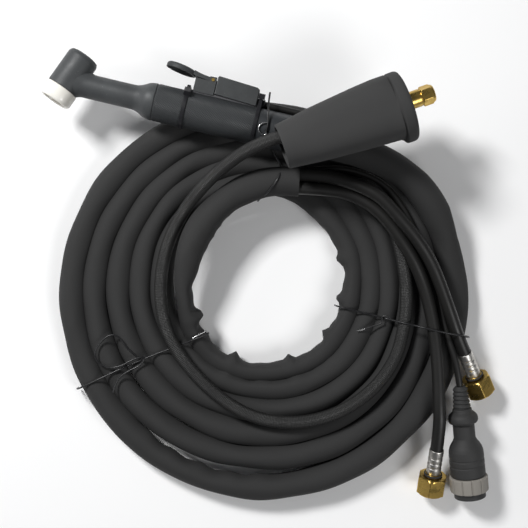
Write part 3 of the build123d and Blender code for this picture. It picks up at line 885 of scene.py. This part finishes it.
POWER_CABLE: Points = [
    (27.9, 92.8, 31.4), (49.3, 95.2, 31), (69.7, 93, 30.6), (87.1, 88, 30.6), (98, 76, 30.6),
    (105, 57.8, 30.6), (112.8, 30.9, 30.6), (116.5, -1.6, 30.6), (113.6, -26.9, 30.6),
    (107.1, -52.2, 30.6), (88.4, -77.4, 30.6), (61, -95.6, 30.6), (33.4, -103.1, 30.6),
    (6.5, -102.9, 30.6), (-18.3, -95.1, 31.2), (-43.3, -77.7, 32.2), (-64.6, -55.2, 32.4),
    (-79.6, -30.2, 32.2), (-85.3, -3.3, 30.9), (-83.9, 24.4, 30.6), (-76.5, 49.7, 31), (-63.2, 73, 36),
    (-47.8, 90.6, 44), (-32.5, 103.8, 53), (-16.3, 114.7, 61), (-0.5, 121.5, 68.6), (10.9, 124.6, 73.4),
    (27, 127.6, 75.8), (40.9, 129.2, 76.8), (54.5, 131.5, 77.9), (67.9, 136.3, 77.5),
]
CONTROL_CABLE: Points = [
    (28.4, 101.3, 33.3), (51.8, 105, 30), (76.4, 102, 28.1), (96.8, 92.6, 28.1), (110.7, 76.7, 28.1),
    (123.8, 52.2, 28.1), (135.6, 26.1, 28.1), (143, -0.9, 28.1), (147.5, -27.8, 29),
    (157.6, -57.8, 31.7), (160.6, -83.4, 27.9),
]


class Model:
    """The whole torch: holds the loaded frame and the effects."""

    def __init__(self, frame: dict) -> None:
        """Keep the frame and make the shared effects.
        """
        self.frame = frame
        self.effects = Effects()

    def finish(self, obj: bpy.types.Object, look: Finish, body: str, *nodes: str) -> bpy.types.Object:
        """Give a new piece its material and body, and hide the CAD nodes that it stands for.

        Args:
            obj: The piece.
            look: Its finish.
            body: CAD body that it rides on.
            nodes: CAD nodes that it replaces.

        Returns:
            The piece.
        """
        obj.data.materials.clear()
        obj.data.materials.append(look.material(self.effects))
        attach(obj, body)
        if nodes:
            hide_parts(*nodes)
        return obj

    def repaint(self, look: Finish, *nodes: str) -> None:
        """Give carried-over CAD nodes a finish.

        Args:
            look: The finish.
            nodes: Node names.
        """
        for name in nodes:
            node = self.frame["nodes"][name]
            for slot in node.material_slots:
                slot.material = look.material(self.effects)
            LOG.info("%s keeps its CAD shape with %s", name, look.name)


# Sub-assemblies


class CordSet:
    """Jacket, hoses and cables."""

    def __init__(self, model: Model) -> None:
        """Keep the model.

        Args:
            model: The whole torch.
        """
        self.model = model
        self.made: list[tuple[Tube, bpy.types.Object]] = []

    def lay(self, tube: Tube, look: Finish, *nodes: str) -> bpy.types.Object:
        """Build one cord and give it its finish.

        Args:
            tube: The cord's shape.
            look: Its finish.
            nodes: CAD nodes that it replaces.

        Returns:
            The piece.
        """
        piece = self.model.finish(tube.build(), look, ROOT, *nodes)
        self.made.append((tube, piece))
        return piece

    def build(self) -> None:
        """Make every cord."""
        jacket = Jacket("cable_jacket", JACKET_LEAD + coil_route() + JACKET_TAIL, 12.5, step=3.0, around=40)
        self.lay(jacket, VINYL, "jacket_lead", "jacket_coil", "jacket_tail")
        self.lay(Tube("gas_hose_line", GAS_HOSE, 5.25), HOSE, "gas_hose")
        self.lay(Tube("water_hose_line", WATER_HOSE, 5.25), HOSE, "water_hose")
        self.lay(Tube("power_hose_line", POWER_CABLE, 5.25), BRAID, "power_cable")
        self.lay(Tube("control_line", CONTROL_CABLE, 2.75, around=20), HOSE, "control_cable")

    def declare(self) -> None:
        """Log each cord's length."""
        for tube, piece in self.made:
            LOG.info("%s is %.2f m long", tube.name, tube.run[-1] * MM)


@dataclass
class TorchHead:
    """Moulded head and neck with the white front ring."""

    model: Model
    handle: Placement
    head: Placement
    neck_length: float = 72.9
    neck_r: float = 9.9
    channel_r: float = 6.7
    head_r: float = 13.15
    bore_r: float = 8.55
    lean: float = 69.1

    def build(self) -> None:
        """Make the head, the neck and the ring, and finish what they hold."""
        back, front = 24.7, -7.5
        head = Turned("moulded_head", self.head, [
            (front, self.bore_r), (back, self.bore_r), (back, 9.2), (back - 0.9, 11.9),
            (back - 3.6, self.head_r), (front, self.head_r),
        ], edge=0.7, closed=True, segments=128)
        self.model.finish(head.build(), RUBBER_GREY, ROOT, "head_insulation")
        self.model.finish(self.neck(), RUBBER_GREY, ROOT, "head_insulation")
        end = front - 12.2
        ring = Turned("white_front_ring", self.head, [
            (front - 0.05, 8.56), (front - 0.05, 12.9), (front - 0.5, 13.5), (front - 1.2, 13.7),
            (end + 3, 13.7), (end + 0.9, 12.9), (end, 12.0), (end + 0.5, 10.8), (end + 8, 10.4),
            (end + 8, 8.56),
        ], edge=0.6, closed=True, segments=128)
        self.model.finish(ring.build(), WHITE, ROOT, "front_insulator")
        self.model.repaint(BRASS, "head_body", "gas_barb", "water_barb", "power_barb")
        self.model.repaint(COPPER, "neck_gas_tube", "neck_water_tube", "neck_power_tube")

    def neck(self) -> bpy.types.Object:
        """Neck surface, blended into the head and flared to the grip.

        The first rings lie on cylinders about the head's axis. Their own radius falls along a parabola, which
        makes the moulded fillet. Further on, the rings are flat, and the outline flares to the grip. The loop
        returns through the channel.

        Returns:
            The piece.
        """
        angle = np.linspace(0, 2 * np.pi, 96, endpoint=False)
        lean = math.radians(self.lean)
        reach = np.array([0.0, 0.25, 0.7, 1.4, 2.4, 3.6, 5.0])
        radii = self.neck_r + 1.2 * (1 - reach / 5.0) ** 2
        rings = [self._wrapped(11.0, 10.6, angle, lean), self._wrapped(12.4, 12.0, angle, lean)]
        rings += [self._wrapped(self.head_r + e, r, angle, lean) for e, r in zip(reach, radii)]
        flare = rounded([(-44, 9.9), (-20.5, 9.9), (-16, 10.1), (-12, 11.5), (-7.6, 14.1), (-4, 15.0),
                         (-0.1, 15.12), (-0.1, 12.25), (12, 12.25), (12, self.channel_r)], 2.2, False)
        flare[-9:-1] = np.clip(flare[-9:-1], None, 15.12)
        for along, radius in [*flare, (-55, self.channel_r)]:
            ring = np.stack([np.full_like(angle, along), radius * np.cos(angle), radius * np.sin(angle)], -1)
            rings.append(ring)
        rings.append(self._wrapped(11.0, self.channel_r, angle, lean))
        return grid_surface("moulded_neck", self.handle.world(np.array(rings)), looped=True)

    def _wrapped(self, about: float, radius: float, angle: np.ndarray, lean: float) -> np.ndarray:
        """Ring of the neck that lies on a cylinder about the head's axis.

        Args:
            about: Radius of that cylinder.
            radius: The ring's own radius about the neck's axis.
            angle: Angles of its points.
            lean: Angle between the two axes in radians.

        Returns:
            Points by 3, in the handle's frame.
        """
        y, z = radius * np.cos(angle), radius * np.sin(angle)
        off = np.sqrt(np.clip(about**2 - z**2, 0, None))
        along = -self.neck_length + (off + (y - 0.5) * math.cos(lean)) / math.sin(lean)
        return np.stack([along, y, z], -1)


@dataclass
class TorchHandle:
    """Knurled grip, its plain rear end with the cable hood, and the switch on its side."""

    model: Model
    handle: Placement
    grip_r: float = 15.15
    bore_r: float = 12.3
    knurl_end: float = 83.0
    length: float = 130.0

    def build(self) -> None:
        """Make the grip and finish the switch."""
        r, bore = self.grip_r, self.bore_r
        front = Turned("knurled_grip", self.handle, [
            (0, bore), (0, r - 0.4), (1.2, r), (self.knurl_end - 1, r), (self.knurl_end, r - 0.25),
            (self.knurl_end, bore),
        ], edge=0.3, closed=True, segments=144)
        self.model.finish(front.build(), KNURLED, ROOT, "handle_grip")
        rear = Turned("plain_grip_end", self.handle, [
            (self.knurl_end + 0.05, bore), (self.knurl_end + 0.05, r - 0.3), (self.knurl_end + 1, r - 0.05),
            (self.length - 3, r - 0.05), (self.length - 0.6, r - 0.6), (self.length, r - 1.4),
            (self.length, bore),
        ], edge=0.8, closed=True, segments=144)
        self.model.finish(rear.build(), SMOOTH_BLACK, ROOT, "handle_grip")
        self.model.finish(self.hood(), SMOOTH_BLACK, ROOT, "handle_grip")
        self.model.repaint(HOSE, "inner_gas_hose", "inner_water_hose", "switch_cable")
        self.model.repaint(BRAID, "inner_power_hose")
        self.model.repaint(GREY_PLASTIC, "switch_nose", "switch_housing", "switch_lever")
        self.model.repaint(DARK_PLASTIC, "switch_base")
        self.model.repaint(BLACK_SHELL, "micro_switch", "terminal_block")
        self.model.repaint(BRASS, "lever_pin")
        self.model.repaint(WHITE, "switch_plunger")
        self.model.repaint(TIE, "cable_ties")

    def hood(self) -> bpy.types.Object:
        """Hood over the switch cable's way into the grip: superellipse rings from the blind hole to the rear.

        Returns:
            The piece.
        """
        angle = np.linspace(0, 2 * np.pi, 64, endpoint=False)
        stations = [
            (121.6, 18.5, 2.82, 2.0), (118.6, 18.5, 2.82, 2.0), (118.5, 18.0, 3.6, 2.6),
            (118.6, 17.4, 4.2, 3.6),
            (119.3, 17.2, 4.55, 4.0), (122, 17.2, 4.6, 4.0), (125.5, 17.0, 4.6, 4.0), (128, 16.4, 4.4, 4.0),
            (129, 15.8, 3.6, 3.4),
        ]
        rings = []
        for along, out, size, power in stations:
            r = size / (np.abs(np.cos(angle)) ** power + np.abs(np.sin(angle)) ** power) ** (1 / power)
            rings.append(np.stack([np.full_like(r, along), out + r * np.cos(angle), r * np.sin(angle)], -1))
        return grid_surface("cable_hood", self.handle.world(np.array(rings)), sharp_degrees=60)


@dataclass
class HoseEnd:
    """Crimped ferrule, nipple, seal and union nut on the end of one hose."""

    model: Model
    name: str
    place: Placement
    spin: float
    hose_r: float = 5.25

    def build(self) -> None:
        """Make the four pieces, counted along the hose from its end."""
        hole = self.hose_r + 0.1
        sleeve = Turned(f"{self.name}_sleeve", self.place, [
            (-20, hole), (1.9, hole), (1.9, 5.85), (-1.5, 6.0), (-3.0, 6.0), (-3.6, 5.62), (-4.6, 5.62),
            (-5.2, 6.0), (-7.6, 6.0), (-8.2, 5.62), (-9.2, 5.62), (-9.8, 6.0), (-12.2, 6.0), (-12.8, 5.62),
            (-13.8, 5.62), (-14.4, 6.0), (-19.3, 6.0), (-20, 5.8),
        ], edge=0.35, closed=True)
        self.model.finish(sleeve.build(), ALUMINIUM, ROOT, f"{self.name}_ferrule")
        tail = Turned(f"{self.name}_tail_piece", self.place, [
            (0.1, 1.9), (13, 1.9), (13, 3.6), (11.1, 5.6), (11, 7.1), (8.7, 7.1), (8.7, 6.5), (2.2, 6.5),
            (2.2, 3.4), (0.1, 3.4),
        ], edge=0.3, closed=True)
        self.model.finish(tail.build(), BRASS, ROOT, f"{self.name}_nipple")
        seal = Turned(f"{self.name}_seal", self.place, [
            (2.3, 6.52), (4.2, 6.52), (4.2, 7.2), (3.6, 7.6), (2.9, 7.6), (2.3, 7.2),
        ], edge=0.5, closed=True)
        self.model.finish(seal.build(), SEAL, ROOT, f"{self.name}_ring")
        nut = HexTurned(f"{self.name}_union_nut", self.place, [
            (4.6, 6.6), (4.6, 10.9), (5.9, 13.1), (19.3, 13.1), (20.6, 10.9), (20.6, 8.3), (19.8, 7.52),
            (13.1, 7.52), (13.1, 7.8), (8.6, 7.8), (8.6, 6.6),
        ], edge=0.3, closed=True, spin=self.spin)
        self.model.finish(nut.build(), BRASS, f"{self.name}_nut_body", f"{self.name}_nut")


@dataclass
class BootSkin(Turned):
    """Turned rubber boot, pressed a little square, whose front flange hangs lower than its body."""

    body_end: float = 92.0
    drop: float = 2.2
    power: float = 2.7

    def build(self) -> bpy.types.Object:
        """Make the surface: each outline point becomes a ring, and rings past the body's end hang lower.

        Returns:
            The piece.
        """
        profile = rounded(self.outline, self.edge, self.closed)
        angle = np.linspace(0, 2 * np.pi, self.segments, endpoint=False)
        ring = self.radius(profile, angle)
        outer = profile[:, 1:2] > 15.0
        low = np.where(outer, self.drop * np.clip((profile[:, :1] - self.body_end + 1.0) / 2.0, 0, 1), 0.0)
        x = np.broadcast_to(profile[:, :1], ring.shape)
        local = np.stack([x, ring * np.cos(angle) - low, ring * np.sin(angle)], -1)
        steps = np.concatenate([[0.0], np.cumsum(np.linalg.norm(np.diff(profile, axis=0), axis=1))])
        return grid_surface(self.name, self.place.world(local), steps, looped=self.closed)

    def radius(self, profile: np.ndarray, angle: np.ndarray) -> np.ndarray:
        """Superellipse radius, with its two axes along Y and Z, on the body; round at the flange and inside.

        Args:
            profile: Outline points as (along, radius).
            angle: Angles of a ring's points.

        Returns:
            Array of rings by angles.
        """
        power = self.power
        square = (np.abs(np.cos(angle)) ** power + np.abs(np.sin(angle)) ** power) ** (-1 / power)
        body = (profile[:, 1:2] > 17.9) & (profile[:, :1] < self.body_end)
        ramp = np.clip(profile[:, :1] / 30.0, 0, 1) * body
        return profile[:, 1:2] * (1 + ramp * (square - 1))


@dataclass
class PowerEnd:
    """Rubber boot with the brass stud that stands out of it."""

    model: Model
    place: Placement
    length: float = 103.0

    def build(self) -> None:
        """Make the boot and the stud."""
        face = self.length
        boot = BootSkin("rubber_boot", self.place, [
            (0, 15.7), (0, 17.6), (1.2, 18.0), (10, 19.0), (18, 20.0), (28, 21.2), (40, 22.3), (62, 24.3),
            (80, 25.5), (face - 11, 25.9), (face - 9.9, 27.0), (face - 9, 28.2), (face - 3, 28.3),
            (face - 0.9, 27.5), (face, 25.5), (face, 12.5), (face - 0.7, 11.6), (face - 0.7, 7.1),
            (face - 12, 7.1), (face - 12, 18.5), (40, 17.6), (20, 16.2),
        ], edge=1.3, closed=True, segments=144)
        self.model.finish(boot.build(), BOOT, ROOT, "power_boot")
        stud = HexTurned("power_stud", self.place, [
            (face - 14, 0), (face + 10.6, 0), (face + 10.6, 4.6), (face + 22, 4.6), (face + 22.6, 5.4),
            (face + 22.6, 6.0), (face + 21.9, 6.7), (face + 20.4, 7.3), (face + 19.8, 8.0),
            (face + 12.9, 8.0),
            (face + 12.2, 7.2), (face + 11.9, 6.6), (face + 11.4, 6.6), (face + 11, 6.98),
            (face - 12.9, 6.98),
            (face - 13.2, 8.2), (face - 16, 8.2), (face - 16, 6.4), (face - 33, 6.4), (face - 33, 0),
        ], edge=0.3, flats=14.0, segments=144)
        self.model.finish(stud.build(), BRASS, ROOT, "power_connector")
        self.model.repaint(BRASS, "power_crimp")


@dataclass
class ControlPlug:
    """Round plug with a ribbed strain relief, a domed collar and a grooved coupling ring."""

    model: Model
    place: Placement

    def build(self) -> None:
        """Make the plug's pieces."""
        ribs: list[tuple[float, float]] = []
        for rib in range(5):
            at, big = -8.6 + 3.4 * rib, 6.0 + 0.28 * rib
            ribs += [(at, big - 0.9), (at + 0.7, big), (at + 2.1, big), (at + 2.8, big - 0.9)]
        relief = Turned("ribbed_relief", self.place, [
            (0.2, 0), (0.2, 2.86), (-10, 2.86), (-10, 4.0), *ribs, (8.4, 6.5), (8.4, 0),
        ], edge=0.45)
        self.model.finish(relief.build(), BLACK_SHELL, ROOT, "plug_boot")
        dome = Turned("plug_dome", self.place, [
            (8.5, 0), (8.5, 7.6), (10.6, 8.0), (11.2, 8.2), (13.2, 10.6), (15, 11.9), (17, 12.3),
            (18.8, 12.3),
            (20.4, 11.3), (21.2, 9.4), (21.95, 9.1), (21.95, 0),
        ], edge=0.9)
        self.model.finish(dome.build(), BLACK_SHELL, ROOT, "plug_collar")
        bell = Turned("plug_bell", self.place, [
            (22, 0), (22, 8.8), (22.8, 8.9), (33.5, 8.9), (36, 10), (38.5, 11.8), (41, 13.2), (44, 14.1),
            (48, 14.4), (50, 14.4), (50.5, 14.1), (51.3, 14.1), (51.8, 14.4), (55.5, 14.4), (56, 14.1),
            (56.8, 14.1), (57.3, 14.4), (65, 14.4), (65.6, 13.9), (65.6, 12.98), (66.4, 12.98), (66.4, 0),
        ], edge=0.7, segments=128)
        self.model.finish(bell.build(), BLACK_SHELL, ROOT, "plug_shell")
        ring = GroovedTurned("grooved_ring", self.place, [
            (66, 13.1), (66, 14.9), (66.9, 15.8), (78.1, 15.8), (79, 14.7), (79, 13.1),
        ], edge=0.5, closed=True, grooves=12, groove_depth=0.9)
        self.model.finish(ring.build(), GREY_RING, "plug_coupling_ring_body", "plug_coupling_ring")
        self.model.repaint(BLACK_SHELL, "plug_insert")
        self.model.repaint(CONTACT, "plug_pins")


class WireTies:
    """Covered wires that hold the coil, with their twisted ends."""

    ROUTES: dict[str, Points] = {
        "left_wire": [
            (-155.8, -77.5, 4), (-155.8, -77.5, 14), (-152.5, -76.2, 23.5), (-143, -71.8, 26.2),
            (-120, -60.8, 26.3),
            (-95, -50, 26.3), (-70, -40.6, 25.9), (-61, -37, 29.4), (-53, -33.8, 30.9), (-45.5, -30.2, 28.2),
        ],
        "left_loop": [
            (-100, -52.6, 27.4), (-112, -44, 28.5), (-118.5, -33, 28), (-127, -31, 28.5), (-138, -42, 28),
            (-139, -52, 28), (-130, -59, 28), (-118, -58, 28.6), (-108, -52, 29), (-97, -49, 28),
            (-101, -57, 27.8), (-113, -62, 27.8), (-122, -70, 27.6), (-124, -79, 27.4),
        ],
        "right_wire": [
            (58.8, -8.3, 6), (58.8, -8.3, 19), (61.5, -9, 26.4), (78, -13.2, 26.3), (98, -18, 26.6),
            (107, -20.4, 33.8), (114, -22, 37.8), (122, -23.8, 38.6), (131, -26, 42.6), (142, -28.6, 42.7),
            (155, -31.2, 39.9), (165.5, -33.3, 34), (168.8, -34.2, 20), (168.8, -34.3, 4),
        ],
        "right_tail": [
            (103, -18.4, 31.2), (99, -15.6, 30), (95, -17.6, 29), (97, -21.8, 28.2), (91, -24, 27.4),
            (82, -27, 27),
        ],
        "rear_strand": [
            (4.4, 163, 50), (3.2, 154, 55.5), (2.9, 146, 58.2), (2.8, 139, 58.6), (2.4, 133.5, 58.8),
            (1, 130, 57.8),
        ],
        "top_wire": [
            (3.7, 128, 26.6), (8, 116, 26.4), (12.8, 108, 30), (13.4, 100, 48), (10.5, 93.4, 51.9),
            (3, 83.6, 48.8), (-3.4, 79.4, 38), (-5.4, 77.6, 27.4),
        ],
    }

    def __init__(self, model: Model) -> None:
        """Keep the model.

        Args:
            model: The whole torch.
        """
        self.model = model

    def build(self) -> None:
        """Make each wire as a thin tube, and the stripped ends in bare metal."""
        for name, route in self.ROUTES.items():
            tube = Tube(name, route, 0.75, step=1.2, around=12)
            self.model.finish(tube.build(), WIRE, ROOT, "coil_ties")
        for name, route in {
            "bare_end_left": [(-58.5, -34.5, 31.2), (-53, -31, 31.8), (-47.5, -28.5, 29.6)],
            "bare_end_right": [(82, -27, 27.2), (79, -28.4, 27), (75.6, -28.6, 26.6)],
            "bare_curl": [
                (3.2, 137.8, 57.9), (-1.5, 138.2, 58.2), (-5.2, 134.5, 58.2), (-3.8, 129.6, 57.8),
                (0.4, 127.9, 57.2),
                (2.2, 130.4, 58.4), (0.4, 132.4, 59),
            ],
        }.items():
            tube = Tube(name, route, 0.5, step=0.8, around=10)
            self.model.finish(tube.build(), BARE_WIRE, ROOT, "coil_ties")


@dataclass
class Studio:
    """Camera, plain pale floor and soft lights, in metres."""

    lens: float = 81.1
    sensor: float = 36.0
    eye: tuple[float, float, float] = (-0.0004, 0.02605, 1.0)
    floor_reach: float = 6.0
    floor_gap: float = 0.0004
    floor_tone: float = 0.93
    sky_strength: float = 0.1

    def camera(self) -> None:
        """Camera one metre above the coil, looking straight down."""
        data = bpy.data.cameras.new("camera")
        data.lens, data.sensor_width = self.lens, self.sensor
        data.dof.use_dof = False
        camera = bpy.data.objects.new("camera", data)
        camera.location = self.eye
        bpy.context.scene.collection.objects.link(camera)
        bpy.context.scene.camera = camera

    def floor(self) -> None:
        """Plain pale floor just under the coil."""
        mesh = bpy.data.meshes.new("floor")
        reach, drop = self.floor_reach, -self.floor_gap
        corners = [(-reach, -reach, drop), (reach, -reach, drop), (reach, reach, drop), (-reach, reach, drop)]
        mesh.from_pydata(corners, [], [(0, 1, 2, 3)])
        floor = bpy.data.objects.new("floor", mesh)
        material = bpy.data.materials.new("pale_floor")
        material.use_nodes = True
        shader = material.node_tree.nodes["Principled BSDF"]
        shader.inputs["Base Color"].default_value = (*(self.floor_tone,) * 3, 1)
        shader.inputs["Roughness"].default_value = 0.7
        shader.inputs["Specular IOR Level"].default_value = 0.2
        mesh.materials.append(material)
        bpy.context.scene.collection.objects.link(floor)

    def lamp(
        self, name: str, place: tuple[float, float, float], size: tuple[float, float], watts: float,
    ) -> None:
        """Rectangular area light that faces the coil.

        Args:
            name: Object name.
            place: Position in metres.
            size: Width and height in metres.
            watts: Power.
        """
        data = bpy.data.lights.new(name, "AREA")
        data.shape, data.size, data.size_y, data.energy = "RECTANGLE", size[0], size[1], watts
        light = bpy.data.objects.new(name, data)
        light.location = place
        light.rotation_euler = (Vector((0, 0, 0)) - Vector(place)).to_track_quat("-Z", "Y").to_euler()
        bpy.context.scene.collection.objects.link(light)

    def light(self) -> None:
        """Dim surroundings, a key light from the upper left, a weaker one opposite and a faint side one."""
        world = bpy.data.worlds.new("surroundings")
        world.use_nodes = True
        world.node_tree.nodes["Background"].inputs["Color"].default_value = (0.93, 0.95, 1.0, 1)
        world.node_tree.nodes["Background"].inputs["Strength"].default_value = self.sky_strength
        bpy.context.scene.world = world
        bpy.context.scene.view_settings.view_transform = "Standard"
        self.lamp("key", (-0.75, 0.8, 1.2), (0.32, 0.32), 24)
        self.lamp("fill", (0.9, -0.8, 1.35), (0.8, 0.8), 12)
        self.lamp("side", (-1.3, 0.3, 0.6), (0.9, 0.5), 3)

    def build(self) -> None:
        """Set everything up."""
        self.camera()
        self.floor()
        self.light()


def main() -> None:
    """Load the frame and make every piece."""
    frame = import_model()
    Studio().build()
    model = Model(frame)
    cords = CordSet(model)
    cords.build()

    handle = Placement.heading(HANDLE_PLACE, HANDLE_HEADING, HANDLE_ROLL)
    TorchHead(model, handle, handle.turned(HEAD_PLACE, HEAD_ANGLE)).build()
    TorchHandle(model, handle).build()
    HoseEnd(model, "gas", Placement.along(GAS_HOSE[-2], GAS_HOSE[-1]), 28.0).build()
    HoseEnd(model, "water", Placement.along(WATER_HOSE[-2], WATER_HOSE[-1]), 18.0).build()
    PowerEnd(model, Placement.along(BOOT_MOUTH, BOOT_FRONT, -BOOT_LENGTH)).build()
    ControlPlug(model, Placement.along(CONTROL_CABLE[-2], CONTROL_CABLE[-1])).build()
    WireTies(model).build()
    cords.declare()


if __name__ == "__main__":
    main()
